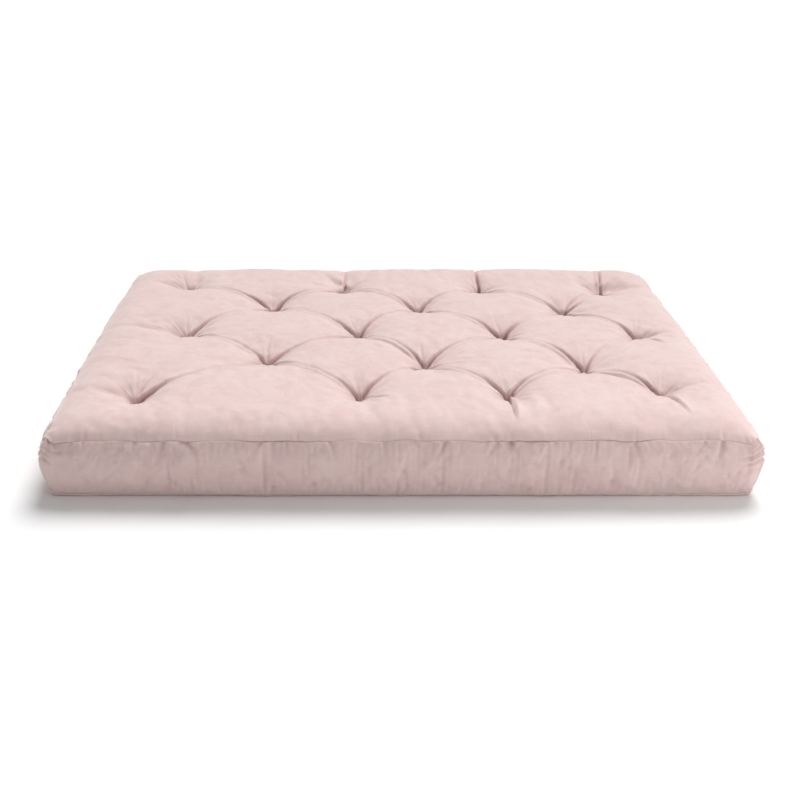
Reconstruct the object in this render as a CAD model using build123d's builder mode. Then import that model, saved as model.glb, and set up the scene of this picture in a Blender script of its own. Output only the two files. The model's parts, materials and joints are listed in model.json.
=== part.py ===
"""A tufted futon mattress for a full-size (54 by 75 inch) bi-fold frame, in millimetres.

+X runs along the long side, +Y from the front edge to the rear edge, +Z up. The origin is under the middle of
the mattress, on the surface that it lies on. A sewn cover of six cloth panels holds five layers of filling, and
tuft cords tie the cover down through all of them. The mattress folds up along one crease, so every piece that
crosses the crease is made in two, one half for the seat and one for the back.
"""

from build123d import *

import os

LENGTH = 1905
WIDTH = 1372
THICKNESS = 203
TICKING = 2
CORNER_RADIUS = 52

# The upper rim is full and round, and the lower one is pressed flat by the weight. A seam lies low on each.
UPPER_RIM_RADIUS = 45
LOWER_RIM_RADIUS = 18
HIGH_SEAM = 172
LOW_SEAM = 10

FOLD_Y = -80
FOLD_GAP = 1

# Heights of the joints between the filling's layers, from the underside up.
LAYER_TOPS = {
    "lower_batting": 50,
    "lower_foam": 75,
    "core_batting": 126,
    "upper_foam": 151,
    "upper_batting": THICKNESS - TICKING,
}

# Each row of tufts: y at x = -TUFT_REACH, y at x = +TUFT_REACH, and the x of each tuft. The tufts are set by
# hand, so the rows aren't quite straight or evenly spaced.
TUFT_REACH = 750
TUFT_ROWS = (
    (-460, -415, (-740, -110, 310, 745)),
    (-180, -265, (-390, 85, 560)),
    (25, 0, (-665, -115, 345, 775)),
    (280, 220, (-410, 85, 580)),
    (480, 430, (-720, -165, 315, 750)),
)

# A pit is the hollow that a tuft pulls into the cover: its depth, and its radius at the mouth and the floor.
UPPER_PIT_DEPTH = 50
UPPER_PIT_MOUTH = 55
LOWER_PIT_DEPTH = 22
LOWER_PIT_MOUTH = 35
PIT_FLOOR = 9

CORD_RADIUS = 1.5
CORD_CLEARANCE = 0.2
CORD_HALF_SPAN = 5
CORD_BEND = 2.4
KNOT_RADIUS = 4


def tuft_places():
    """The (x, y) of every tuft, by row and place, such as (1, 1) for the front row's left tuft."""
    places = {}
    for row, (y_left, y_right, xs) in enumerate(TUFT_ROWS, start=1):
        slope = (y_right - y_left) / (2 * TUFT_REACH)
        for place, x in enumerate(xs, start=1):
            places[row, place] = (x, y_left + slope * (x + TUFT_REACH))
    return places


TUFTS = tuft_places()


def stock(inset):
    """The whole mattress as one block, drawn in by inset, with its tuft pits and the cords' holes."""
    with BuildPart() as block:
        with BuildSketch(Plane.XY.offset(inset)):
            RectangleRounded(LENGTH - 2 * inset, WIDTH - 2 * inset, CORNER_RADIUS - inset)
        extrude(amount=THICKNESS - 2 * inset)
        fillet(block.edges().group_by(Axis.Z)[0], LOWER_RIM_RADIUS - inset)
        fillet(block.edges().group_by(Axis.Z)[-1], UPPER_RIM_RADIUS - inset)
        with Locations(*[(x, y, THICKNESS - inset) for x, y in TUFTS.values()]):
            Cone(
                PIT_FLOOR + inset,
                UPPER_PIT_MOUTH + inset,
                UPPER_PIT_DEPTH,
                align=(Align.CENTER, Align.CENTER, Align.MAX),
                mode=Mode.SUBTRACT,
            )
        with Locations(*[(x, y, inset) for x, y in TUFTS.values()]):
            Cone(
                LOWER_PIT_MOUTH + inset,
                PIT_FLOOR + inset,
                LOWER_PIT_DEPTH,
                align=(Align.CENTER, Align.CENTER, Align.MIN),
                mode=Mode.SUBTRACT,
            )
        legs = [(x + side * CORD_HALF_SPAN, y, 0) for x, y in TUFTS.values() for side in (-1, 1)]
        with Locations(*legs):
            Hole(CORD_RADIUS + CORD_CLEARANCE)
    return block.part


def between(block, low, high):
    """The slice of a block from one height to another."""
    with BuildPart() as slab:
        add(block)
        split(bisect_by=Plane.XY.offset(low), keep=Keep.TOP)
        split(bisect_by=Plane.XY.offset(high), keep=Keep.BOTTOM)
    return slab.part


def half(block, name):
    """The part of a block on one side of the crease: name is seat, in front of it, or back, behind it."""
    side, keep = {"seat": (-1, Keep.TOP), "back": (1, Keep.BOTTOM)}[name]
    edge = FOLD_Y + side * FOLD_GAP / 2
    with BuildPart() as piece:
        add(block)
        split(bisect_by=Plane.XZ.offset(-edge), keep=keep)
    return piece.part


def corner_seam(x_side, y_side):
    """The upright plane of a corner's seam. Its upper side holds the front or rear border."""
    corner = (x_side * LENGTH / 2, y_side * WIDTH / 2, 0)
    return Plane(origin=corner, x_dir=(0, 0, 1), z_dir=(-x_side, y_side, 0))


def border(ring, seams, keep):
    """One side's border, cut from the ring between its two corner seams."""
    with BuildPart() as strip:
        add(ring)
        for seam in seams:
            split(bisect_by=seam, keep=keep)
    return strip.part


def tuft_cord(x, y):
    """One tuft's cord: a loop through the whole mattress, closed in both pits, with its knot in the upper one.

    It turns outside the cover, so that both legs are straight where they pass through their holes.
    """
    pit_floor = THICKNESS - UPPER_PIT_DEPTH
    low = LOWER_PIT_DEPTH - CORD_BEND
    high = pit_floor + CORD_BEND
    with BuildPart() as cord:
        with BuildLine(Plane.XZ) as route:
            FilletPolyline(
                (0, low),
                (CORD_HALF_SPAN, low),
                (CORD_HALF_SPAN, high),
                (0, high),
                radius=CORD_BEND,
            )
        with BuildSketch(Plane(origin=route.line @ 0, z_dir=route.line % 0)):
            Circle(CORD_RADIUS)
        sweep(path=route.line)
        mirror(about=Plane.YZ)
        with Locations((0, 0, pit_floor + KNOT_RADIUS)):
            Sphere(KNOT_RADIUS)
    return cord.part.moved(Location((x, y, 0)))


def rim_zone():
    """The band around the mattress, between its two seams, that the borders lie in."""
    with BuildPart() as zone:
        with BuildSketch(Plane.XY.offset(LOW_SEAM)):
            RectangleRounded(LENGTH, WIDTH, CORNER_RADIUS)
            RectangleRounded(
                LENGTH - 2 * UPPER_RIM_RADIUS,
                WIDTH - 2 * UPPER_RIM_RADIUS,
                CORNER_RADIUS - UPPER_RIM_RADIUS,
                mode=Mode.SUBTRACT,
            )
        extrude(amount=HIGH_SEAM - LOW_SEAM)
    return zone.part


def cover_panels(casing):
    """The six cloth panels of the cover, with those that cross the crease in two halves."""
    zone = rim_zone()
    with BuildPart() as ring:
        add(casing)
        add(zone, mode=Mode.INTERSECT)
    with BuildPart() as faces:
        add(casing)
        add(zone, mode=Mode.SUBTRACT)
    lower = between(faces.part, 0, THICKNESS / 2)
    upper = between(faces.part, THICKNESS / 2, THICKNESS)
    front_seams = corner_seam(-1, -1), corner_seam(1, -1)
    rear_seams = corner_seam(-1, 1), corner_seam(1, 1)
    left = border(ring.part, (front_seams[0], rear_seams[0]), Keep.BOTTOM)
    right = border(ring.part, (front_seams[1], rear_seams[1]), Keep.BOTTOM)
    panels = {
        "front_border": border(ring.part, front_seams, Keep.TOP),
        "rear_border": border(ring.part, rear_seams, Keep.TOP),
    }
    for body in ("seat", "back"):
        panels[f"{body}_top_panel"] = half(upper, body)
        panels[f"{body}_bottom_panel"] = half(lower, body)
        panels[f"{body}_left_border"] = half(left, body)
        panels[f"{body}_right_border"] = half(right, body)
    return panels


def filling_layers(filling):
    """The five layers of batting and foam, each in two halves."""
    layers = {}
    low = TICKING
    for name, high in LAYER_TOPS.items():
        layer = between(filling, low, high)
        for body in ("seat", "back"):
            layers[f"{body}_{name}"] = half(layer, body)
        low = high
    return layers


def main():
    filling = stock(TICKING)
    outer = stock(0)
    with BuildPart() as casing:
        add(outer)
        add(filling, mode=Mode.SUBTRACT)
    parts = cover_panels(casing.part)
    parts.update(filling_layers(filling))
    for (row, place), (x, y) in TUFTS.items():
        parts[f"tuft_cord_{row}_{place}"] = tuft_cord(x, y)
    os.makedirs("parts", exist_ok=True)
    for name, part in parts.items():
        part.label = name
        export_step(part, f"parts/{name}.step")


main()
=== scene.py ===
"""The looks of the tufted futon mattress, in metres, in the frame of its CAD model.

The cover starts as one shell of cloth, which is simulated and creased whole and then cut along its seams.
The underside, the layers of filling and the tuft cords follow the finished shell.
"""

import json
import math

import bpy
import numpy as np
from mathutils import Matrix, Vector


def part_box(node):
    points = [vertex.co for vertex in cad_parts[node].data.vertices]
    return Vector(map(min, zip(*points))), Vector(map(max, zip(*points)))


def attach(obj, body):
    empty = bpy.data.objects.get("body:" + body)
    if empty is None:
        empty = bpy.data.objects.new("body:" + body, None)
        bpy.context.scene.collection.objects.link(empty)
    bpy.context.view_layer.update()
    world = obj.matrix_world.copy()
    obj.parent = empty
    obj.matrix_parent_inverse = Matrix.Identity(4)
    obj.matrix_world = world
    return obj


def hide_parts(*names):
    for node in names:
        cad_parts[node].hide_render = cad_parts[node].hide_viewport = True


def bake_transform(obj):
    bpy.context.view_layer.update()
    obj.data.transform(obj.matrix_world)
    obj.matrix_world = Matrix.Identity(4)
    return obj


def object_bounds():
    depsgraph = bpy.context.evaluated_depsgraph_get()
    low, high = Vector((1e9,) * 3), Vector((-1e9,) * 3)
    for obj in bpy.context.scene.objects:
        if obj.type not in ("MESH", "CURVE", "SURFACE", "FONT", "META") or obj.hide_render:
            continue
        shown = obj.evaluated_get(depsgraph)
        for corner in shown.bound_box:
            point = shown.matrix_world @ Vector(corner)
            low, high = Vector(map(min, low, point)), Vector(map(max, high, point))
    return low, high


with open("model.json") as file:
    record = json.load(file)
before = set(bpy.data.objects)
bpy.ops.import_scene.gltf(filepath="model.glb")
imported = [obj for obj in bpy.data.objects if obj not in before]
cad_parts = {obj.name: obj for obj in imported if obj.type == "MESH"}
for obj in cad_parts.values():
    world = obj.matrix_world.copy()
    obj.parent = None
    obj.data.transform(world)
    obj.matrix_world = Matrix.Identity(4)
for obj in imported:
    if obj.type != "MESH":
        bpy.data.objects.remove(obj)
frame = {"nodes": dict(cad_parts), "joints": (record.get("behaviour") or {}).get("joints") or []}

cad_low, cad_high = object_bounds()

# ---------------------------------------------------------------- sizes from the frame
HALF_X, HALF_Y, CROWN = cad_high
LOW_SEAM, HIGH_SEAM = (corner.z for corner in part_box("front_border"))
FOLD_Y = frame["joints"][0]["pos_m"][1]
CORD_RADIUS = 0.0015
CORD_BEND = 0.0024
CORD_HALF_SPAN = 0.005
KNOT_HEIGHT = 0.008


def read_tufts():
    """The (x, y) of every tuft by its row and place, and the heights of the upper and lower pits' floors."""
    places = {}
    for node in frame["nodes"]:
        if node.startswith("tuft_cord"):
            row, place = node.split("_")[-2:]
            low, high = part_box(node)
            places[int(row), int(place)] = np.array([(low.x + high.x) / 2, (low.y + high.y) / 2])
    return dict(sorted(places.items())), high.z - KNOT_HEIGHT, low.z + CORD_RADIUS + CORD_BEND


TUFTS, UPPER_FLOOR, LOWER_FLOOR = read_tufts()
LAST_ROW = max(row for row, place in TUFTS)
FAR_AWAY = 1.0
SEED = 7

# ---------------------------------------------------------------- grids and meshes


def grid_index(rows, columns, first=0):
    """The numbers of a grid's points, row by row."""
    return first + np.arange(rows * columns).reshape(rows, columns)


def grid_quads(index):
    return np.stack([index[:-1, :-1], index[1:, :-1], index[1:, 1:], index[:-1, 1:]], -1).reshape(-1, 4)


def strip_quads(upper, lower):
    """The quads between two closed rings that run anticlockwise as seen from above."""
    return np.stack([upper, lower, np.roll(lower, -1), np.roll(upper, -1)], -1)


def grid_rim(index):
    """The grid's boundary, anticlockwise from its first point, and the points just inside it."""
    rows, columns = index.shape
    first_row, last_row = np.zeros(columns - 1, int), np.full(columns - 1, rows - 1)
    first_column, last_column = np.zeros(rows - 1, int), np.full(rows - 1, columns - 1)
    i = np.concatenate([np.arange(rows - 1), last_row, np.arange(rows - 1, 0, -1), first_row])
    j = np.concatenate([first_column, np.arange(columns - 1), last_column, np.arange(columns - 1, 0, -1)])
    return index[i, j], index[np.clip(i, 1, rows - 2), np.clip(j, 1, columns - 2)]


def doubled(values, closed=False):
    """Twice as many steps along the first axis, on a smooth curve through the old points."""
    before = values[-1:] if closed else 2 * values[:1] - values[1:2]
    after = values[:2] if closed else 2 * values[-1:] - values[-2:-1]
    wide = np.concatenate([before, values, after])
    middle = (9 * (wide[1:-2] + wide[2:-1]) - wide[:-3] - wide[3:]) / 16
    result = np.empty((len(values) + len(middle), *values.shape[1:]))
    result[::2], result[1::2] = values, middle
    return result


def refined(grid, closed=False):
    """The grid with twice as many steps both ways. closed says that its second axis goes all round."""
    return np.swapaxes(doubled(np.swapaxes(doubled(grid), 0, 1), closed), 0, 1)


def unit(vectors):
    return vectors / np.linalg.norm(vectors, axis=-1, keepdims=True)


def outward(ring):
    """The level outward direction at each point of a closed ring that runs anticlockwise."""
    along = np.roll(ring, -1, 0) - np.roll(ring, 1, 0)
    return unit(np.stack([along[:, 1], -along[:, 0], np.zeros(len(ring))], -1))


def make_mesh(name, points, faces, smooth=True):
    mesh = bpy.data.meshes.new(name)
    mesh.vertices.add(len(points))
    mesh.vertices.foreach_set("co", points.astype(np.float32).ravel())
    mesh.loops.add(faces.size)
    mesh.loops.foreach_set("vertex_index", faces.astype(np.int32).ravel())
    mesh.polygons.add(len(faces))
    mesh.polygons.foreach_set("loop_start", np.arange(0, faces.size, faces.shape[1], dtype=np.int32))
    mesh.update(calc_edges=True)
    if smooth:
        mesh.shade_smooth()
    obj = bpy.data.objects.new(name, mesh)
    bpy.context.scene.collection.objects.link(obj)
    return obj


def read_points(mesh):
    co = np.zeros(len(mesh.vertices) * 3, np.float32)
    mesh.vertices.foreach_get("co", co)
    return co.reshape(-1, 3).astype(float)


# ---------------------------------------------------------------- the shell as it is cut
CELL = 0.0074
CORNER = 0.034
ROLL_INSET = 0.013
EDGE_REACH = 0.11
EDGE_POWER = 2.3
CORNER_DROOP = 0.016
CORNER_REACH = 0.07
BORDER_BULGE = 0.007
NX = round(2 * HALF_X / CELL)
NY = round(2 * HALF_Y / CELL)
BORDER_ROWS = round((HIGH_SEAM - LOW_SEAM) / CELL)
ROLL_ROWS = 3
GRID_POINTS = (NX + 1) * (NY + 1)
RIM_POINTS = 2 * (NX + NY)
RIM_CORNERS = np.array([0, NX, NX + NY, 2 * NX + NY])
GRID_U, GRID_V = np.meshgrid(
    np.linspace(-HALF_X, HALF_X, NX + 1), np.linspace(-HALF_Y, HALF_Y, NY + 1), indexing="ij"
)


def round_corners(u, v, half_x, half_y, radius):
    """Square-cornered plan points, moved so that the rectangle's corners are round."""
    du = np.maximum(np.abs(u) - (half_x - radius), 0)
    dv = np.maximum(np.abs(v) - (half_y - radius), 0)
    share = np.maximum(du, dv) / np.maximum(np.hypot(du, dv), 1e-9)
    x = np.sign(u) * (np.minimum(np.abs(u), half_x - radius) + du * share)
    y = np.sign(v) * (np.minimum(np.abs(v), half_y - radius) + dv * share)
    return x, y


def on_edge(x, y):
    """How far a point is from the nearest edge."""
    return np.minimum(HALF_X - np.abs(x), HALF_Y - np.abs(y))


def crowned(x, y):
    """The height of the top before the tufts pull it down. It hangs a little at the four corners."""
    left = 1 - np.clip(on_edge(x, y) / EDGE_REACH, 0, 1)
    rise = (1 - left ** EDGE_POWER) ** (1 / EDGE_POWER)
    corner = np.hypot(HALF_X - np.abs(x), HALF_Y - np.abs(y))
    return HIGH_SEAM + (CROWN - HIGH_SEAM) * rise - CORNER_DROOP * np.exp(-((corner / CORNER_REACH) ** 2))


def shell():
    """The cover except for its underside: points, quads and rings, from the top seam down to the roll."""
    x, y = round_corners(GRID_U, GRID_V, HALF_X, HALF_Y, CORNER)
    top = np.stack([x, y, crowned(x, y)], -1).reshape(-1, 3)
    index = grid_index(NX + 1, NY + 1)
    ring = grid_rim(index)[0]
    edge = top[ring]
    normal = outward(edge)
    points, quads, rings = [top], [grid_quads(index)], [ring]
    for row in range(1, BORDER_ROWS + ROLL_ROWS + 1):
        share = min(1, row / BORDER_ROWS)
        turn = max(0, row - BORDER_ROWS) / ROLL_ROWS * math.pi / 2
        out = BORDER_BULGE * math.sin(math.pi * share) - ROLL_INSET * (1 - math.cos(turn))
        level = edge + normal * out
        level[:, 2] += (LOW_SEAM - edge[:, 2]) * share - LOW_SEAM * math.sin(turn)
        new = GRID_POINTS + (row - 1) * len(ring) + np.arange(len(ring))
        points.append(level)
        quads.append(strip_quads(rings[-1], new))
        rings.append(new)
    return np.concatenate(points), np.concatenate(quads), np.array(rings)


# ---------------------------------------------------------------- what the tufts do to the top
PIN_RADIUS = 0.007
POINT_DEPTH = 0.007
POINT_REACH = 0.009
NEIGHBOUR_REACH = 0.36
DOME = 0.003
DOME_REACH = 0.07
FUNNEL_DEPTH = 0.044
FUNNEL = 0.064
CREASE = 0.015
CREASE_AT_EDGE = 0.003
CREASE_DRIFT = 0.04
CREASE_FADE = 0.08
CREASE_WIDTH = 0.04
CREASE_DEPTHS = (0.6, 1.3)
BEHIND_ROW_4 = 0.3


def tuft_distance(x, y):
    """How far each point is from its nearest tuft, seen from above."""
    return np.min([np.hypot(x - a, y - b) for a, b in TUFTS.values()], axis=0)


def neighbours():
    """Each tuft with each of its neighbours in the next row, and in its own row."""
    between, level = [], []
    for (row_a, place_a), a in TUFTS.items():
        for (row_b, place_b), b in TUFTS.items():
            if row_b == row_a + 1 and abs(a[0] - b[0]) < NEIGHBOUR_REACH:
                between.append((a, b))
            if row_b == row_a and place_b == place_a + 1:
                level.append((a, b))
    return between, level


def creases():
    """The creases between neighbouring tufts and out to the edges: both ends, and the depths there."""
    rng = np.random.default_rng(SEED)
    between, level = neighbours()
    found = [(a, b, CREASE, CREASE) for a, b in between]
    found += [(a, b, CREASE / 2, CREASE / 2) for a, b in level if a[1] > BEHIND_ROW_4]
    for row in range(1, LAST_ROW + 1, 2):
        for place, side in ((1, -1), (4, 1)):
            a = TUFTS[row, place]
            found.append((a, np.array([side * HALF_X, a[1] + CREASE_DRIFT]), CREASE, CREASE_AT_EDGE))
    for place in (1, 2, 3, 4):
        a = TUFTS[LAST_ROW, place]
        found.append((a, np.array([a[0], HALF_Y]), CREASE, CREASE_AT_EDGE))
    return [(a, b, *(rng.uniform(*CREASE_DEPTHS) * np.array(depths))) for a, b, *depths in found]


def arc_drop(distance, reach):
    """From 1 at no distance to 0 at reach, as a quarter circle that starts upright."""
    left = np.clip(1 - distance / reach, 0, 1)
    return 1 - np.sqrt(1 - left ** 2)


def settled(x, y):
    """How far the top's resting shape lies below the crown: its creases, mounds' edges and funnels."""
    near = np.full(x.shape, FAR_AWAY)
    drop = np.zeros(x.shape)
    for a, b, depth_a, depth_b in creases():
        span = b - a
        length = np.linalg.norm(span)
        s = np.clip(((x - a[0]) * span[0] + (y - a[1]) * span[1]) / length ** 2, 0, 1)
        d = np.hypot(x - a[0] - s * span[0], y - a[1] - s * span[1])
        depth = depth_a * np.exp(-s * length / CREASE_FADE)
        depth += depth_b * np.exp(-(1 - s) * length / CREASE_FADE)
        drop = np.maximum(drop, depth * arc_drop(d, CREASE_WIDTH))
        near = np.minimum(near, d)
    return drop + DOME * np.exp(-near / DOME_REACH) + FUNNEL_DEPTH * np.exp(-tuft_distance(x, y) / FUNNEL)


# ---------------------------------------------------------------- the cloth simulation
FRAMES = 22
PULL_FRAMES = 8
PRESSURE = 1.8
GOAL = 0.09
SLACK = 0.035
EDGE_SLACK = 0.01
TUFT_SLACK = 0.09
TUFT_SLACK_REACH = 0.09
BORDER_SLACK = 0.012
BORDER_UNEVENNESS = 0.6
BORDER_WAVES = 40
SEAM_SHRINK = 0.006
SEAM_WAVES = 60
BENDING = 0.05
STIFFNESS = 40
ROUGHNESS = 0.0004
WEIGHT_STEPS = 32


def weigh(obj, name, values):
    """A vertex group that holds these values, from 0 to 1, in small steps."""
    group = obj.vertex_groups.new(name=name)
    steps = np.round(np.clip(values, 0, 1) * WEIGHT_STEPS).astype(int)
    for step in range(1, WEIGHT_STEPS + 1):
        group.add(np.nonzero(steps == step)[0].tolist(), step / WEIGHT_STEPS, "REPLACE")
    return group.name


def uneven(count, waves, rng):
    """A smooth closed random curve, from -1 to 1."""
    t = np.arange(count) / count * 2 * math.pi
    curve = np.zeros(count)
    for wave in range(1, waves + 1):
        curve += rng.normal() * np.sin(wave * t + rng.uniform(0, 2 * math.pi))
    return curve / np.abs(curve).max()


def surplus(rings, edge_distance, tied_distance):
    """How much longer than its place each stretch of cloth is cut. The seams are drawn up instead."""
    rng = np.random.default_rng(SEED)
    inside = np.clip(edge_distance / (2 * EDGE_REACH), 0, 1)
    more = EDGE_SLACK + (SLACK - EDGE_SLACK) * inside
    more += (TUFT_SLACK - SLACK) * np.exp(-((tied_distance / TUFT_SLACK_REACH) ** 2))
    around = BORDER_SLACK * (1 + BORDER_UNEVENNESS * uneven(rings.shape[1], BORDER_WAVES, rng))
    for ring in rings[1:]:
        more[ring] = around
    for ring in (rings[0], rings[BORDER_ROWS]):
        more[ring] = -SEAM_SHRINK * (1 + uneven(rings.shape[1], SEAM_WAVES, rng))
    return more


def shape_keys(obj, cut, low):
    """Keys for the shape that the cloth is cut to and for its pulled tufts. Returns the first of these."""
    obj.shape_key_add(name="Basis")
    key = obj.shape_key_add(name="cut")
    key.data.foreach_set("co", cut.astype(np.float32).ravel())
    pull = obj.shape_key_add(name="pull")
    pull.data.foreach_set("co", low.astype(np.float32).ravel())
    for value, time in ((0, 1), (1, PULL_FRAMES)):
        pull.value = value
        pull.keyframe_insert("value", frame=time)
    return key


def simulate(points, quads, rings):
    """The shell when its tufts have been pulled down and its filling pushes it out."""
    rng = np.random.default_rng(SEED)
    on_top = np.arange(len(points)) < GRID_POINTS
    r = np.where(on_top, tuft_distance(points[:, 0], points[:, 1]), FAR_AWAY)
    start = points.copy()
    start[on_top, 2] -= settled(points[on_top, 0], points[on_top, 1])
    start[on_top] += rng.normal(0, ROUGHNESS, (GRID_POINTS, 3))
    low = start.copy()
    low[r < PIN_RADIUS, 2] = UPPER_FLOOR + POINT_DEPTH
    obj = make_mesh("cloth", start, quads)
    held = np.where(r < PIN_RADIUS, 1.0, GOAL)
    held[rings[-1]] = 1
    more = surplus(rings, on_edge(points[:, 0], points[:, 1]), r)
    cloth = obj.modifiers.new("cloth", "CLOTH")
    settings = cloth.settings
    settings.quality = 4
    settings.mass = 0.3
    settings.air_damping = 2
    settings.tension_stiffness = STIFFNESS
    settings.compression_stiffness = STIFFNESS
    settings.shear_stiffness = STIFFNESS / 2
    settings.bending_stiffness = BENDING
    settings.tension_damping = 10
    settings.compression_damping = 10
    settings.shear_damping = 10
    settings.use_pressure = True
    settings.uniform_pressure_force = PRESSURE
    settings.effector_weights.gravity = 0
    settings.rest_shape_key = shape_keys(obj, points, low)
    settings.vertex_group_mass = weigh(obj, "held", held)
    settings.vertex_group_shrink = weigh(obj, "shrink", (more.max() - more) / np.ptp(more))
    settings.shrink_min = -more.max()
    settings.shrink_max = -more.min()
    cloth.collision_settings.use_collision = False
    cloth.point_cache.frame_start = 1
    cloth.point_cache.frame_end = FRAMES
    for time in range(1, FRAMES + 1):
        bpy.context.scene.frame_set(time)
    done = obj.evaluated_get(bpy.context.evaluated_depsgraph_get())
    result = read_points(done.data)
    bpy.data.objects.remove(obj)
    bpy.context.scene.frame_set(1)
    return result


# ---------------------------------------------------------------- pleats finer than the simulation
GROOVE_WIDTH = 0.0042
GROOVE_SPAN = 0.05
GROOVE_EASE = 0.02
RIDGE = 0.35
RIDGE_AT = 2.2
RIDGE_SPREAD = 2.6
IRONING = 2
SINGLE_GROOVES = ((4, 0.006), (3, 0.003))   # number and depth, to tufts in the next row and in the same row
SINGLE_DEPTHS = (0.3, 1)
SINGLE_FADES = (0.05, 0.12)
SINGLE_BOW = 0.022
SINGLE_DRIFT = 0.007
ARC_DEPTH = 0.011
ARC_DEPTHS = (0.5, 1.3)
ARC_FADE = 0.17
ARC_BOW = 0.022
ARC_BOWS = (0.6, 1.2)
BACK_FAN = (90, 35, 4, 0.25)   # direction and spread in degrees, number, greatest length
FRONT_FAN = (-90, 60, 3, 0.12)
SIDE_FAN = (35, 6)   # spread in degrees, number
FAN_DRIFT = 8
FAN_LENGTHS = (0.5, 1)
FAN_DEPTHS = (0.001, 0.0036)
FAN_BOW = 0.006
SLIT_FADE = 1.0
SLIT_BOW = 0.003
PUCKER_GAP = 0.036
PUCKERS = ((0.085, 0.8, 0.006), (-0.04, 0.45, 0.0035))   # length below or above the seam, odds, depth
PUCKER_SLANT = 0.5
PUCKER_LENGTHS = (0.2, 1)
PUCKER_WIDTHS = (0.8, 2.2)
PUCKER_DEPTHS = (0.15, 1)
CORNER_TUCKS = (0.005, 0.017, 0.031, 0.052, 0.146)
TUCK_RUNS = (0.03, 0.08)
TUCK_DEPTHS = (0.004, 0.009)
TUCK_SLOPE = 0.15
CRUMPLES = 420
CRUMPLE_LENGTHS = (0.015, 0.06)
CRUMPLE_DEPTHS = (0.001, 0.0045)
CRUMPLE_WIDTHS = (1.0, 2.6)
CRUMPLE_BAND = (0.01, 0.13)
CRUMPLE_TURN = 35
CRUMPLE_EASE = 0.008
SEAM_WAVE = 0.0022
SEAM_WAVE_LENGTH = 0.04
SEAM_WAVE_REACH = 0.018
TOP_LUMPS = 0.0016
TOP_LUMP_SIZE = 0.07
BORDER_LUMPS = 0.0036
BORDER_LUMP_SIZE = 0.06
BORDER_LUMP_SQUEEZE = (1, 1, 0.6)
FULLNESS = 0.008
BELLY = 0.7
LUMP_WAVES = 24
LUMP_SIZES = (0.6, 1.8)
LUMP_HEIGHT = 5
HEADROOM = 0.012
# painted shade: FOLD_DEPTH is the groove depth where the painted fold shade is full, HOLLOW_SHADE its share
# in the hollows round the tufts
FOLD_DEPTH = 0.012
HOLLOW_START = 0.008
HOLLOW_SHADE = 0.04
SLITS = (   # row, place, direction in degrees, length, depth
    (5, 2, 88, 0.20, 0.018),
    (5, 3, 88, 0.24, 0.030),
    (5, 4, 82, 0.23, 0.024),
    (5, 1, 112, 0.12, 0.006),
    (1, 3, -92, 0.21, 0.032),
    (1, 4, -82, 0.20, 0.018),
    (1, 2, -32, 0.10, 0.006),
    (1, 1, 72, 0.13, 0.008),
    (2, 1, 90, 0.15, 0.006),
    (2, 2, 93, 0.14, 0.005),
    (3, 4, -55, 0.12, 0.009),
    (3, 3, 48, 0.13, 0.009),
    (4, 3, 42, 0.13, 0.012),
)


def sink(total, du, dv, end, depth, fade, bow=0.0, ease=0.001, width=GROOVE_WIDTH):
    """Adds how far a groove, with a ridge along one side, sinks the points at (du, dv) from its start."""
    length = math.hypot(*end)
    along = (du * end[0] + dv * end[1]) / length
    across = (dv * end[0] - du * end[1]) / length
    near = (along > 0) & (along < length) & (np.abs(across) < GROOVE_SPAN)
    along, s = along[near], along[near] / length
    across = (across[near] - 4 * bow * s * (1 - s)) / width
    strength = depth * np.exp(-along / fade) * (1 - s ** 2) * np.clip(along / ease, 0, 1)
    ridge = RIDGE * np.exp(-((across - RIDGE_AT) ** 2) / RIDGE_SPREAD)
    total[near] += strength * (np.exp(-across ** 2) - ridge)


def rays(x, y):
    """Each point's way from its nearest tuft, as a level unit vector, and its distance from it."""
    away = np.stack([np.stack([x - a, y - b], -1) for a, b in TUFTS.values()])
    distance = np.linalg.norm(away, axis=-1)
    nearest = distance.argmin(0)[None]
    away = np.take_along_axis(away, nearest[..., None], 0)[0]
    distance = np.take_along_axis(distance, nearest, 0)[0][..., None]
    return np.concatenate([away / np.maximum(distance, 1e-6), distance], -1)


def lumps(points, size, rng):
    """Smooth unevenness, mostly between -1 and 1, about size across."""
    total = np.zeros(points.shape[:-1])
    for _ in range(LUMP_WAVES):
        wave = unit(rng.normal(size=3)) * math.pi / (size * rng.uniform(*LUMP_SIZES))
        total += np.cos(points @ wave + rng.uniform(0, 2 * math.pi))
    return total / LUMP_HEIGHT


def polar(length, degrees):
    """The x and y of a step of this length in this direction."""
    return length * math.cos(math.radians(degrees)), length * math.sin(math.radians(degrees))


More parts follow.
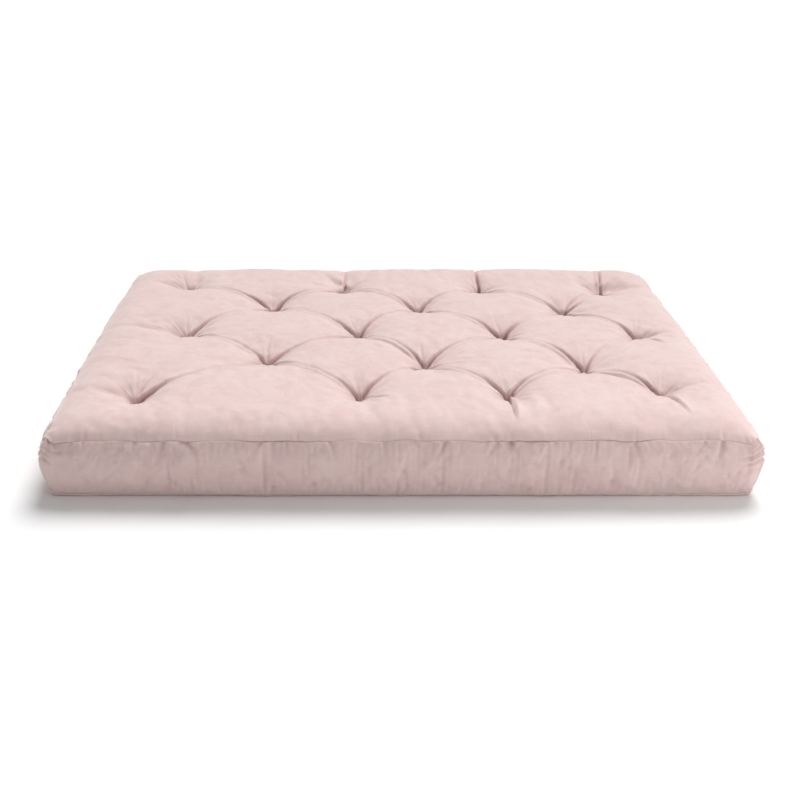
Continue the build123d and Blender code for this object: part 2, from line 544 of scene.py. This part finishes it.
def tuft_grooves(rng):
    """The grooves that the tufts pull into the top: start, end from there, depth, fade and bow."""
    between, level = neighbours()
    found = []
    for pairs, (number, deepest) in zip((between, level), SINGLE_GROOVES):
        for a, b in pairs + [(b, a) for a, b in pairs]:
            drift = rng.uniform(-SINGLE_DRIFT, SINGLE_DRIFT, number)
            for bow in np.linspace(-SINGLE_BOW, SINGLE_BOW, number) + drift:
                depth = rng.uniform(*SINGLE_DEPTHS) * deepest
                found.append((a, b - a, depth, rng.uniform(*SINGLE_FADES), bow))
    for a, b in between:
        bow = ARC_BOW * rng.uniform(*ARC_BOWS) * np.sign(b[0] - a[0])
        found.append((a, b - a, ARC_DEPTH * rng.uniform(*ARC_DEPTHS), ARC_FADE, bow))
    for (row, place), a in TUFTS.items():
        fans = [BACK_FAN, FRONT_FAN]
        if place in (1, 4) and row % 2:
            fans.append((180 if place == 1 else 0, *SIDE_FAN, HALF_X - abs(a[0])))
        for middle, spread, number, longest in fans:
            drift = rng.uniform(-FAN_DRIFT, FAN_DRIFT, number)
            for turn in np.linspace(-spread, spread, number) + drift:
                end = polar(longest * rng.uniform(*FAN_LENGTHS), middle + turn)
                depth = rng.uniform(*FAN_DEPTHS)
                found.append((a, end, depth, longest / 2, rng.uniform(-FAN_BOW, FAN_BOW)))
    for row, place, degrees, length, depth in SLITS:
        found.append((TUFTS[row, place], polar(length, degrees), depth, SLIT_FADE, SLIT_BOW))
    return found


def seam_puckers(rng, around):
    """Short tucks that hang from the top seam, or stand on it with their lengths below 0.

    Each one's place along the seam, its slant, length, depth and width.
    """
    found = []
    at = 0.0
    while at < around:
        at += rng.exponential(PUCKER_GAP)
        for longest, odds, deepest in PUCKERS:
            if rng.random() < odds:
                length = longest * rng.uniform(*PUCKER_LENGTHS)
                width = rng.uniform(*PUCKER_WIDTHS) * GROOVE_WIDTH
                slant = rng.normal(0, PUCKER_SLANT)
                found.append((at, slant, length, deepest * rng.uniform(*PUCKER_DEPTHS), width))
    return found


def border_creases(rng, around, corners):
    """Creases on the borders: tucks that run level from each corner, and short soft ones anywhere.

    Each one's place along the seam, its depth below the seam, its end from there, its depth and its width.
    """
    found = []
    for corner in corners:
        for side in (-1, 1):
            for below in CORNER_TUCKS:
                run = rng.uniform(*TUCK_RUNS)
                end = (side * run, TUCK_SLOPE * run)
                found.append((corner, below, end, rng.uniform(*TUCK_DEPTHS), GROOVE_WIDTH))
    for _ in range(CRUMPLES):
        end = polar(rng.uniform(*CRUMPLE_LENGTHS), 90 + rng.normal(0, CRUMPLE_TURN))
        depth = rng.uniform(*CRUMPLE_DEPTHS)
        width = rng.uniform(*CRUMPLE_WIDTHS) * GROOVE_WIDTH
        found.append((rng.uniform(0, around), rng.uniform(*CRUMPLE_BAND), end, depth, width))
    return found


def ironed(grid, passes):
    """The grid with its finest creases smoothed out, and its border left as it is."""
    grid = grid.copy()
    for _ in range(passes):
        rows = grid[1:-1] / 2 + (grid[:-2] + grid[2:]) / 4
        grid[1:-1, 1:-1] = rows[:, 1:-1] / 2 + (rows[:, :-2] + rows[:, 2:]) / 4
    return grid


def wave_seam(top, skirt, rng):
    """Makes the top seam, and the cloth on both sides of it, run a little up and down."""
    both = np.concatenate([top.reshape(-1, 3), skirt.reshape(-1, 3)])
    near = np.exp(-np.maximum(on_edge(both[:, 0], both[:, 1]), 0) / SEAM_WAVE_REACH)
    near *= np.exp(-np.maximum(HIGH_SEAM - both[:, 2], 0) / SEAM_WAVE_REACH)
    both[:, 2] += SEAM_WAVE * lumps(both * (1, 1, 0), SEAM_WAVE_LENGTH, rng) * near
    split = top[..., 0].size
    return both[:split].reshape(top.shape), both[split:].reshape(skirt.shape)


def around_from(run, at, around):
    """How far each place in run, along a closed seam with the length around, lies from the place at."""
    return (run - at + around / 2) % around - around / 2


def fine_folds(top, edge, inward, rows, rng):
    """How far the grooves sink each point of the top and of the skirt, which has this many rows."""
    step = np.linalg.norm(np.roll(edge, -1, 0) - edge, axis=1)
    s = np.cumsum(step) - step
    around = step.sum()
    run, fall = np.meshgrid(s, np.arange(rows) * CELL / 2)
    x, y = top[..., 0], top[..., 1]
    on_top, on_skirt = np.zeros(x.shape), np.zeros(run.shape)
    for start, end, depth, fade, bow in tuft_grooves(rng):
        sink(on_top, x - start[0], y - start[1], end, depth, fade, bow, ease=GROOVE_EASE)
    for at, slant, length, depth, width in seam_puckers(rng, around):
        if length > 0:
            end = (slant * length, length)
            sink(on_skirt, around_from(run, at, around), fall, end, depth, length, width=width)
        else:
            k = np.searchsorted(s, at) % len(s)
            way = inward[k, :2] + slant * np.array([inward[k, 1], -inward[k, 0]])
            sink(on_top, x - edge[k, 0], y - edge[k, 1], -length * way, depth, -length, width=width)
    for at, start, end, depth, width in border_creases(rng, around, s[2 * RIM_CORNERS]):
        gap = around_from(run, at, around)
        sink(on_skirt, gap, fall - start, end, depth, math.hypot(*end), width=width, ease=CRUMPLE_EASE)
    return on_top, on_skirt


def detail(top, skirt):
    """The refined shell with its pleats, puckers and lumps.

    Returns its top, its skirt, the way in from its rim, and their painted shade in folds and hollows, each
    from 0 to 1.
    """
    rng = np.random.default_rng(SEED + 1)
    top, skirt = refined(ironed(top, IRONING)), refined(skirt, closed=True)
    rim = grid_rim(grid_index(*top.shape[:2]))[0]
    skirt[0] = top.reshape(-1, 3)[rim]
    top, skirt = wave_seam(top, skirt, rng)
    edge = top.reshape(-1, 3)[rim]
    inward = -outward(edge)
    x, y = top[..., 0], top[..., 1]
    on_top, on_skirt = fine_folds(top, edge, inward, len(skirt), rng)
    normal = unit(np.cross(np.gradient(top, axis=0), np.gradient(top, axis=1)))
    # folds is painted shade for the cloth's colour: darker in the grooves and, a little, in the hollows
    # below the crown
    hollow = (CROWN - HOLLOW_START - top[..., 2]) / (CROWN - UPPER_FLOOR) * (on_edge(x, y) > EDGE_REACH / 2)
    folds = np.clip(on_top / FOLD_DEPTH + HOLLOW_SHADE * hollow, 0, 1), np.clip(on_skirt / FOLD_DEPTH, 0, 1)
    on_top += TOP_LUMPS * lumps(top, TOP_LUMP_SIZE, rng)
    share = np.clip(np.arange(len(skirt)) * CELL / 2 / (HIGH_SEAM - LOW_SEAM), 0, 1)
    swell = np.sin(np.pi * share ** BELLY)[:, None]
    on_skirt += (BORDER_LUMPS * lumps(skirt * BORDER_LUMP_SQUEEZE, BORDER_LUMP_SIZE, rng) - FULLNESS) * swell
    top = top - on_top[..., None] * normal
    top[..., 2] -= POINT_DEPTH * np.exp(-tuft_distance(x, y) / POINT_REACH)
    skirt = skirt + on_skirt[..., None] * inward
    top[..., 2] = np.minimum(top[..., 2], CROWN + HEADROOM)
    return top, skirt, inward, folds


# ---------------------------------------------------------------- the panels
SEAM_GAP = 0.0004
SEAM_DEPTH = 0.005
SHOULDER = 0.25
SEAM_SHADE = 0.5
UNDERSIDE_PATCH = 9
UNDERSIDE_EASE = 0.08
UNDERSIDE_SLACK = 0.003
FAR_RAY = (1.0, 0.0, FAR_AWAY)


def note(obj, name, kind, values):
    """Stores values at the points of obj, for its material."""
    attribute = obj.data.attributes.new(name, kind, "POINT")
    field = "vector" if kind == "FLOAT_VECTOR" else "value"
    attribute.data.foreach_set(field, values.astype(np.float32).ravel())


def sewn(name, points, quads, loop, inner, inward, flat, folds, ray):
    """A panel whose edge turns in at its seams. loop is its edge, and inner the points just inside it."""
    seam = points[loop].copy()
    into = points[inner] - seam
    points = points.copy()
    points[loop] = seam + SHOULDER * into
    lip = seam + unit(into) * SEAM_GAP + inward * SEAM_GAP
    edge = lip + inward * (SEAM_DEPTH - SEAM_GAP)
    first = len(points) + np.arange(len(loop))
    second = first + len(loop)
    quads = np.concatenate([quads, strip_quads(loop, first), strip_quads(first, second)])
    obj = make_mesh(name, np.concatenate([points, lip, edge]), quads)
    note(obj, "cloth", "FLOAT_VECTOR", np.concatenate([flat, flat[loop], flat[loop]]))
    # painted shade: the turned-in strips of each seam are darkened by SEAM_SHADE
    note(obj, "folds", "FLOAT", np.concatenate([folds, np.full(2 * len(loop), SEAM_SHADE)]))
    note(obj, "ray", "FLOAT_VECTOR", np.concatenate([ray, ray[loop], ray[loop]]))
    return obj


def top_panel(top, inward, folds):
    rows, columns = top.shape[:2]
    index = grid_index(rows, columns)
    loop, inner = grid_rim(index)
    across, along = np.linspace(-HALF_X, HALF_X, rows), np.linspace(-HALF_Y, HALF_Y, columns)
    u, v = np.meshgrid(across, along, indexing="ij")
    flat = np.stack([u, v, np.zeros(u.shape)], -1).reshape(-1, 3)
    ray = rays(top[..., 0], top[..., 1]).reshape(-1, 3)
    points = top.reshape(-1, 3)
    return sewn("top_panel", points, grid_quads(index), loop, inner, inward, flat, folds.ravel(), ray)


def border_panel(name, skirt, inward, folds, first, last):
    """The border between two corners, which are given as places along the shell's coarse rim."""
    places = np.arange(2 * first, 2 * last + 1) % skirt.shape[1]
    block = skirt[2 * BORDER_ROWS::-1, places].transpose(1, 0, 2)
    folds = folds[2 * BORDER_ROWS::-1, places].T.ravel()
    turn_in = inward[places]
    columns, rows = block.shape[:2]
    index = grid_index(columns, rows)
    loop, inner = grid_rim(index)
    s, height = np.meshgrid(np.arange(columns) * CELL / 2, np.arange(rows) * CELL / 2, indexing="ij")
    flat = np.stack([s, height, np.full(s.shape, float(first))], -1).reshape(-1, 3)
    points = block.reshape(-1, 3)
    ray = np.tile(FAR_RAY, (len(points), 1))
    return sewn(name, points, grid_quads(index), loop, inner, turn_in[loop // rows], flat, folds, ray)


def underside(top):
    """The grid under the mattress: flat where it lies on something, and drawn up at the tufts."""
    half_x, half_y = HALF_X - ROLL_INSET, HALF_Y - ROLL_INSET
    u, v = GRID_U * half_x / HALF_X, GRID_V * half_y / HALF_Y
    x, y = round_corners(u, v, half_x, half_y, CORNER - ROLL_INSET)
    drop = crowned(GRID_U, GRID_V) - top[..., 2]
    inside = np.clip(np.minimum(half_x - np.abs(x), half_y - np.abs(y)) / UNDERSIDE_EASE, 0, 1)
    z = (drop * LOWER_FLOOR / (CROWN - UPPER_FLOOR) - UNDERSIDE_SLACK) * inside
    z = np.where(tuft_distance(x, y) < PIN_RADIUS, LOWER_FLOOR, np.clip(z, 0, LOWER_FLOOR))
    return np.stack([x, y, z], -1)


def bottom_panel(under, skirt, inward):
    """The rolled edge and the flat of the underside in one panel."""
    roll = skirt[BORDER_ROWS:-1]
    rows, count = roll.shape[:2]
    rings = grid_index(rows, count)
    index = grid_index(*under.shape[:2], rows * count)
    rim = grid_rim(index)[0]
    quads = [strip_quads(a, b) for a, b in zip(rings, [*rings[1:], rim])]
    quads.append(grid_quads(index)[:, ::-1])
    points = np.concatenate([roll.reshape(-1, 3), under.reshape(-1, 3)])
    flat = points * (1, 1, 0) + (0, 0, UNDERSIDE_PATCH)
    quads = np.concatenate(quads)
    folds = np.zeros(len(points))
    ray = np.tile(FAR_RAY, (len(points), 1))
    loop, inner = rings[0][::-1], rings[1][::-1]
    return sewn("bottom_panel", points, quads, loop, inner, inward[::-1], flat, folds, ray)


# ---------------------------------------------------------------- the filling
FILLING_GAP = 0.004
FILLING_STEPS = (97, 69)
FILLING_CLEARANCE = 3
LAYER_GAP = 0.0006
SLAB_BULGE = 0.004
LAYERS = {   # how tightly each layer is stuffed
    "lower_batting": 0.7,
    "lower_foam": 1.0,
    "core_batting": 0.7,
    "upper_foam": 1.0,
    "upper_batting": 0.6,
}


def lowest_near(heights, reach):
    """The lowest height within reach steps of each point."""
    for axis in (0, 1):
        shifted = [np.roll(heights, step, axis) for step in range(-reach, reach + 1)]
        heights = np.min(shifted, axis=0)
    return heights


def slab(name, x, y, low, high):
    """A closed slab between two height fields, with rounded sides."""
    columns, rows = x.shape
    upper, lower = grid_index(columns, rows), grid_index(columns, rows, columns * rows)
    points = np.concatenate([np.stack([x, y, z], -1).reshape(-1, 3) for z in (high, low)])
    over, under = grid_rim(upper)[0], grid_rim(lower)[0]
    belly = (points[over] + points[under]) / 2 + SLAB_BULGE * outward(points[over])
    middle = len(points) + np.arange(len(over))
    faces = [grid_quads(upper), grid_quads(lower)[:, ::-1]]
    sides = [strip_quads(over, middle), strip_quads(middle, under)]
    return make_mesh(name, np.concatenate([points, belly]), np.concatenate(faces + sides))


def filling(fine_top, under):
    """The layers, which share out the space inside the cover as their CAD nodes do."""
    i = np.linspace(0, NX, FILLING_STEPS[0]).round().astype(int)
    j = np.linspace(0, NY, FILLING_STEPS[1]).round().astype(int)
    pick = np.ix_(i, j)
    lowest = lowest_near(np.minimum(fine_top[..., 2], CROWN - FILLING_GAP), 2 * FILLING_CLEARANCE)
    ceiling = lowest[::2, ::2][pick] - FILLING_GAP
    floor = -lowest_near(-under[..., 2], FILLING_CLEARANCE)[pick] + FILLING_GAP
    half_x, half_y = HALF_X - 3 * FILLING_GAP, HALF_Y - 3 * FILLING_GAP
    u, v = GRID_U[pick] * half_x / HALF_X, GRID_V[pick] * half_y / HALF_Y
    x, y = round_corners(u, v, half_x, half_y, CORNER)
    layers = {}
    for name in LAYERS:
        low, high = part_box(f"seat_{name}")
        shares = [z / CROWN for z in (low.z, high.z)]
        surfaces = [floor + (ceiling - floor) * share for share in shares]
        layers[name] = slab(name, x, y, surfaces[0] + LAYER_GAP / 2, surfaces[1] - LAYER_GAP / 2)
    return layers


# ---------------------------------------------------------------- the tuft cords
CORD_SIDES = 10
CORD_STEP = 0.002
PLY_DEPTH = 0.16
PLY_PITCH = 0.007
BEND_STEPS = 9
KNOT_STEPS = 36
KNOT_SPREAD = 0.0009
KNOT_RISE = 0.0022
TAIL = 0.008
TAIL_STEPS = 8
TAIL_START = 0.002
TAIL_ARCH = 0.002
TAIL_RISE = 0.003
TAIL_TURN = 0.6
FRAY = 0.7


def tube(path, across, radius, closed=False):
    """The points and quads of a two-ply cord. across is a direction that its path never takes."""
    ends = (path[-1:], path[:1]) if closed else (2 * path[:1] - path[1:2], 2 * path[-1:] - path[-2:-1])
    wide = np.concatenate([ends[0], path, ends[1]])
    along = unit(wide[2:] - wide[:-2])
    side = unit(np.cross(along, across))
    up = np.cross(side, along)
    step = np.linalg.norm(path - wide[:-2], axis=1)
    run = np.cumsum(step) - step[0]
    length = run[-1] + step[0]
    twist = 2 * math.pi * round(length / PLY_PITCH) / length * run
    turn = np.arange(CORD_SIDES) * 2 * math.pi / CORD_SIDES
    r = (radius * np.ones(len(path)))[:, None] * (1 + PLY_DEPTH * (np.cos(2 * turn - twist[:, None]) - 1))
    spokes = np.cos(turn)[:, None] * side[:, None] + np.sin(turn)[:, None] * up[:, None]
    rings = path[:, None] + r[..., None] * spokes
    index = grid_index(len(path), CORD_SIDES)
    index = np.concatenate([index, index[:, :1]], 1)
    if closed:
        index = np.concatenate([index, index[:1]])
    return rings.reshape(-1, 3), grid_quads(index)


def loop_path(low, high):
    """The cord's closed loop through the mattress: straight legs and round bends."""
    t = np.linspace(0, math.pi, BEND_STEPS)
    bend = np.stack([CORD_HALF_SPAN * np.cos(t), np.zeros(BEND_STEPS), CORD_BEND * np.sin(t)], -1)
    legs = np.arange(low + CORD_BEND, high - CORD_BEND, CORD_STEP)[1:-1]
    leg = np.stack([np.full(len(legs), CORD_HALF_SPAN), np.zeros(len(legs)), legs], -1)
    top = bend + (0, 0, high - CORD_BEND)
    bottom = (bend * (1, 1, -1))[::-1] + (0, 0, low + CORD_BEND)
    return np.concatenate([leg, top, leg[::-1] * (-1, 1, 1), bottom])


def knot_path(height):
    """A trefoil, pulled flat."""
    t = np.arange(KNOT_STEPS) / KNOT_STEPS * 2 * math.pi
    x, y = np.sin(t) + 2 * np.sin(2 * t), np.cos(t) - 2 * np.cos(2 * t)
    return np.stack([KNOT_SPREAD * x, KNOT_SPREAD * y, height - KNOT_RISE * np.sin(3 * t)], -1)


def tail_path(height, side, rng):
    """A short cut end that lies on the cloth beside the knot."""
    t = np.linspace(0, 1, TAIL_STEPS)
    turn = rng.uniform(-TAIL_TURN, TAIL_TURN)
    x = side * (TAIL_START + TAIL * t)
    z = height + TAIL_ARCH * np.sin(math.pi * t) + TAIL_RISE * t
    return np.stack([x, turn * TAIL * t ** 2, z], -1)


def cord(name, node, rng):
    """A tuft's loop, knot and two tails, in place of its CAD node."""
    low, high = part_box(node)
    foot = np.array([(low.x + high.x) / 2, (low.y + high.y) / 2, 0])
    knot = UPPER_FLOOR + KNOT_HEIGHT / 2
    parts = [
        tube(loop_path(low.z + CORD_RADIUS, UPPER_FLOOR + CORD_BEND), (0, 1, 0), CORD_RADIUS, True),
        tube(knot_path(knot), (0, 0, 1), CORD_RADIUS, True),
    ]
    fray = CORD_RADIUS * np.linspace(1, FRAY, TAIL_STEPS)
    for side in (-1, 1):
        parts.append(tube(tail_path(knot, side, rng), (0, 0, 1), fray))
    points, quads, count = [], [], 0
    for part_points, part_quads in parts:
        points.append(part_points + foot)
        quads.append(part_quads + count)
        count += len(part_points)
    return make_mesh(name, np.concatenate(points), np.concatenate(quads))


# ---------------------------------------------------------------- materials
DEEP_PINK = (0.67, 0.480, 0.460, 1)
PALE_PINK = (0.84, 0.650, 0.622, 1)
WARM_PINK = (0.77, 0.610, 0.570, 1)
# the dark pink of the painted shade in the cloth's folds, seams and hollows
PAINTED_FOLD_SHADE = (0.42, 0.24, 0.23, 1)
GATHER_REACH = (0.010, 0.15)
RAW_COTTON = (0.62, 0.57, 0.46, 1), (0.86, 0.83, 0.74, 1)
SEED_BROWN = (0.25, 0.18, 0.11, 1)
FOAM_YELLOW = (0.60, 0.46, 0.18, 1), (0.86, 0.74, 0.42, 1)
AGED_FOAM = (0.74, 0.58, 0.26, 1)
THREAD_BROWN = (0.30, 0.17, 0.15, 1), (0.56, 0.38, 0.35, 1)
FLOOR_WHITE = (0.90, 0.90, 0.90, 1), (0.95, 0.95, 0.95, 1)


class Shader:
    """A procedural material that is put together node by node."""

    def __init__(self, name, attribute=None):
        self.material = bpy.data.materials.new(name)
        self.material.use_nodes = True
        self.tree = self.material.node_tree
        self.surface = self.tree.nodes["Principled BSDF"]
        if attribute:
            self.place = self.add("ShaderNodeAttribute", attribute_name=attribute).outputs["Vector"]
        else:
            self.place = self.add("ShaderNodeTexCoord").outputs["Generated"]

    def add(self, kind, inputs=(), **settings):
        node = self.tree.nodes.new(kind)
        for name, value in settings.items():
            setattr(node, name, value)
        for name, value in dict(inputs).items():
            self.set(node.inputs[name], value)
        return node

    def set(self, socket, value):
        if isinstance(value, bpy.types.NodeSocket):
            self.tree.links.new(value, socket)
        else:
            socket.default_value = value

    def noise(self, scale, stretch=(1, 1, 1), detail=2.0, distortion=0.0, place=None):
        """Noise from 0 to 1, with scale features in a metre, more along the axes that stretch multiplies."""
        inputs = {"Vector": place or self.place, "Scale": [scale * k for k in stretch]}
        mapping = self.add("ShaderNodeMapping", inputs)
        inputs = {"Vector": mapping.outputs[0], "Scale": 1.0, "Detail": detail, "Distortion": distortion}
        return self.add("ShaderNodeTexNoise", inputs).outputs[0]

    def between(self, value, low, high, start=0.0, end=1.0):
        """value, taken from low..high to start..end."""
        inputs = {"Value": value, "From Min": low, "From Max": high, "To Min": start, "To Max": end}
        return self.add("ShaderNodeMapRange", inputs).outputs[0]

    def total(self, *parts):
        """The sum of (value, share) pairs."""
        result = 0.0
        for value, share in parts:
            inputs = {0: value, 1: share, 2: result}
            result = self.add("ShaderNodeMath", inputs, operation="MULTIPLY_ADD").outputs[0]
        return result

    def product(self, a, b):
        """The product of two values."""
        return self.add("ShaderNodeMath", {0: a, 1: b}, operation="MULTIPLY").outputs[0]

    def mix(self, share, a, b):
        """The colour that is a where share is 0 and b where it is 1."""
        node = self.add("ShaderNodeMix", data_type="RGBA")
        self.set(node.inputs[0], share)
        self.set(node.inputs[6], a)
        self.set(node.inputs[7], b)
        return node.outputs[2]

    def finish(self, colour, roughness, height, depth, sheen=0.0):
        """Sets the surface. height is a bump from 0 to 1, which stands for depth in metres."""
        self.set(self.surface.inputs["Base Color"], colour)
        self.set(self.surface.inputs["Roughness"], roughness)
        bump = self.add("ShaderNodeBump", {"Height": height, "Distance": depth, "Strength": 1.0})
        self.set(self.surface.inputs["Normal"], bump.outputs[0])
        self.surface.inputs["Sheen Weight"].default_value = sheen
        self.surface.inputs["Sheen Roughness"].default_value = 0.5
        self.surface.inputs["Specular IOR Level"].default_value = 0.2
        return self.material


def weave(shader):
    """Fine yarns both ways, and the thicker ones among them."""
    warp = shader.noise(30, (1, 18, 1))
    weft = shader.noise(30, (18, 1, 1))
    coarse = shader.total(
        (shader.between(shader.noise(22, (1, 9, 1), 1), 0.55, 0.75), 0.5),
        (shader.between(shader.noise(22, (9, 1, 1), 1), 0.55, 0.75), 0.5),
    )
    return shader.total((warp, 0.5), (weft, 0.5)), coarse


def gathers(shader):
    """Fine folds that run out from each tuft: their height, and the painted shade in their low parts."""
    ray = shader.add("ShaderNodeAttribute", attribute_name="ray").outputs["Vector"]
    distance = shader.add("ShaderNodeSeparateXYZ", {"Vector": ray}).outputs["Z"]
    near = shader.between(distance, *GATHER_REACH, 1.0, 0.0)
    folds = shader.noise(1, (9, 9, 5), 1.5, place=ray)
    # painted shade: dark in the low parts of the folds near each tuft
    shade = shader.product(near, shader.between(folds, 0.28, 0.46, 1.0, 0.0))
    return shader.product(near, shader.between(folds, 0.3, 0.7)), shade


def ticking():
    """Brushed cotton in dusty pink: uneven yarns, a soft nap, faint stains, and painted shade in its folds,
    seams and hollows.
    """
    shader = Shader("ticking", "cloth")
    yarns, coarse = weave(shader)
    patches = shader.noise(7, detail=3, distortion=0.4)
    nap = shader.noise(55, detail=3)
    shade = shader.total((yarns, 0.55), (nap, 0.25), (coarse, 0.30))
    cloth = shader.mix(shader.between(shade, 0.20, 0.85), DEEP_PINK, PALE_PINK)
    varied = shader.mix(shader.between(patches, 0.35, 0.68, 0.0, 0.5), cloth, WARM_PINK)
    mottle = shader.noise(21, detail=3, distortion=0.8)
    varied = shader.mix(shader.between(mottle, 0.45, 0.70, 0.0, 0.55), varied, DEEP_PINK)
    folds = shader.add("ShaderNodeAttribute", attribute_name="folds").outputs["Fac"]
    gathered, grooves = gathers(shader)
    # painted shade: the colour is darkened towards a dark pink in grooves, seam turn-ins and hollows (folds)
    # and in the fine folds round the tufts (grooves)
    colour = shader.mix(shader.total((folds, 0.65), (grooves, 0.16)), varied, PAINTED_FOLD_SHADE)
    crumple = shader.noise(14, detail=2, distortion=0.6)
    height = shader.total((yarns, 0.18), (coarse, 0.18), (nap, 0.10), (crumple, 0.3), (gathered, 1.3))
    roughness = shader.between(nap, 0.2, 0.8, 0.82, 0.98)
    return shader.finish(colour, roughness, height, 0.0011, sheen=0.5)


def batting():
    """Felted cotton: matted fibres with a few darker specks of seed."""
    shader = Shader("batting")
    fibres = shader.noise(60, (1, 3, 1), 4, 2.5)
    tufts = shader.noise(18, detail=3, distortion=1.0)
    specks = shader.between(shader.noise(240, detail=0), 0.76, 0.80)
    cotton = shader.mix(fibres, *RAW_COTTON)
    colour = shader.mix(shader.total((specks, 0.7)), cotton, SEED_BROWN)
    height = shader.total((fibres, 0.4), (tufts, 0.6))
    return shader.finish(colour, 0.95, height, 0.003, sheen=0.2)


def foam():
    """Open-cell foam: fine cells in pale yellow."""
    shader = Shader("foam")
    inputs = {"Vector": shader.place, "Scale": 420.0}
    cells = shader.add("ShaderNodeTexVoronoi", inputs).outputs["Distance"]
    tone = shader.noise(9, detail=3)
    bare = shader.mix(shader.between(cells, 0.0, 0.6), *FOAM_YELLOW)
    colour = shader.mix(shader.between(tone, 0.3, 0.7, 0.0, 0.35), bare, AGED_FOAM)
    return shader.finish(colour, 0.9, cells, 0.0008)


def waxed_thread():
    """Twisted cotton thread, a little darker than the cloth."""
    shader = Shader("tuft_thread")
    strands = shader.noise(40, (1, 1, 4), 3, 1.0)
    colour = shader.mix(strands, *THREAD_BROWN)
    return shader.finish(colour, shader.between(strands, 0.2, 0.8, 0.55, 0.8), strands, 0.0003, sheen=0.1)


# ---------------------------------------------------------------- putting it together
BEND_REACH = 0.14


def bend(piece):
    """Bakes the piece's place into its mesh; it is not bent over the crease."""
    start, end = (0, FOLD_Y - BEND_REACH, 0), (0, FOLD_Y + BEND_REACH, 0)
    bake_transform(piece)
    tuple(start)
    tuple(end)


def finish_panel(piece, material, width, length):
    """Colours a panel of the cover, fixes it to its body or bakes its place, and hides the CAD nodes that it
    stands for. width and length, what it was cut to, are not used.
    """
    name = piece.name.removesuffix("_panel")
    piece.data.materials.append(material)
    if name in ("front_border", "rear_border"):
        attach(piece, "seat" if name == "front_border" else "back")
        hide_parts(name)
    else:
        bend(piece)
        node = piece.name if piece.name in ("top_panel", "bottom_panel") else name
        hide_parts(f"seat_{node}", f"back_{node}")


def make_cover(skirt, under, fine_top, fine_skirt, inward, folds):
    """The six panels, each with the width and length that it was cut to."""
    height = (HIGH_SEAM - LOW_SEAM) * (1 + BORDER_SLACK) + 2 * SEAM_DEPTH
    width, length = 2 * HALF_X * (1 + SLACK), 2 * HALF_Y * (1 + SLACK)
    ends = [*RIM_CORNERS[1:], RIM_POINTS]
    for side, first, last in zip(("front", "right", "rear", "left"), RIM_CORNERS, ends):
        panel = border_panel(f"{side}_border_panel", fine_skirt, inward, folds[1], first, last)
        yield panel, length if side in ("left", "right") else width, height
    yield top_panel(fine_top, inward, folds[0]), width, length
    yield bottom_panel(under, skirt, -outward(skirt[BORDER_ROWS])), width, length


def make_object():
    points, quads, rings = shell()
    points = simulate(points, quads, rings)
    top = points[:GRID_POINTS].reshape(NX + 1, NY + 1, 3)
    skirt = points[rings]
    skirt[..., 2] = np.maximum(skirt[..., 2], 0)
    under = underside(top)
    fine_top, fine_skirt, inward, folds = detail(top, skirt)
    cloths = {"batting": batting(), "foam": foam()}
    for name, layer in filling(fine_top, under).items():
        kind = name.split("_")[-1]
        layer.data.materials.append(cloths[kind])
        bend(layer)
        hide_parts(f"seat_{name}", f"back_{name}")
    pink = ticking()
    for panel, width, length in make_cover(skirt, under, fine_top, fine_skirt, inward, folds):
        finish_panel(panel, pink, width, length)
    thread = waxed_thread()
    rng = np.random.default_rng(SEED + 2)
    for (row, place), (x, y) in TUFTS.items():
        node = f"tuft_cord_{row}_{place}"
        piece = cord(f"tie_{row}_{place}", node, rng)
        piece.data.materials.append(thread)
        if abs(y - FOLD_Y) < BEND_REACH:
            bend(piece)
        else:
            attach(piece, "seat" if y < FOLD_Y else "back")
        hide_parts(node)


# ---------------------------------------------------------------- the stage, the light and the camera
FLOOR_REACH = 60.0
SENSOR_MM = 36
FOCAL_PX = 1068
PICTURE_PX = 800
SHIFT_PX = 41
CAMERA_PLACE = (-0.113, -3.175, 1.46)
CAMERA_PITCH = 25.2
DAYLIGHT = 0.36
SUN = 3.0
SUN_PLACE = (0.5, 1.4, 2.0)
SUN_SPREAD = 35
SIDE = 21
SIDE_SIZE = 1.6
SIDE_PLACE = (2.4, -2.2, 1.1)
SIDE_TARGET = (0.6, -0.7, 0.1)


def aim(obj, place, target):
    obj.location = place
    obj.rotation_euler = (Vector(target) - Vector(place)).to_track_quat("-Z", "Y").to_euler()
    bpy.context.scene.collection.objects.link(obj)


def make_floor():
    r = FLOOR_REACH
    corners = np.array([[-r, -r, 0], [r, -r, 0], [r, r, 0], [-r, r, 0]])
    floor = make_mesh("floor", corners, np.array([[0, 1, 2, 3]]), smooth=False)
    shader = Shader("pale_floor")
    tone = shader.noise(300, detail=2)
    colour = shader.mix(tone, *FLOOR_WHITE)
    floor.data.materials.append(shader.finish(colour, 1.0, tone, 0.0001))


def make_lights():
    world = bpy.data.worlds.new("world")
    bpy.context.scene.world = world
    world.use_nodes = True
    world.node_tree.nodes["Background"].inputs["Color"].default_value = (1, 1, 1, 1)
    world.node_tree.nodes["Background"].inputs["Strength"].default_value = DAYLIGHT
    sun = bpy.data.lights.new("sun", "SUN")
    sun.angle = math.radians(SUN_SPREAD)
    sun.energy = SUN
    aim(bpy.data.objects.new("sun", sun), SUN_PLACE, (0, 0, 0))
    side = bpy.data.lights.new("side", "AREA")
    side.size = SIDE_SIZE
    side.energy = SIDE
    aim(bpy.data.objects.new("side", side), SIDE_PLACE, SIDE_TARGET)


def make_camera():
    camera = bpy.data.cameras.new("camera")
    camera.lens = FOCAL_PX / PICTURE_PX * SENSOR_MM
    camera.shift_x = SHIFT_PX / PICTURE_PX
    holder = bpy.data.objects.new("camera", camera)
    bpy.context.scene.collection.objects.link(holder)
    holder.location = CAMERA_PLACE
    holder.rotation_euler = (math.radians(90 - CAMERA_PITCH), 0, 0)
    bpy.context.scene.camera = holder


make_object()
make_floor()
make_lights()
make_camera()
bpy.context.scene.view_settings.view_transform = "Standard"
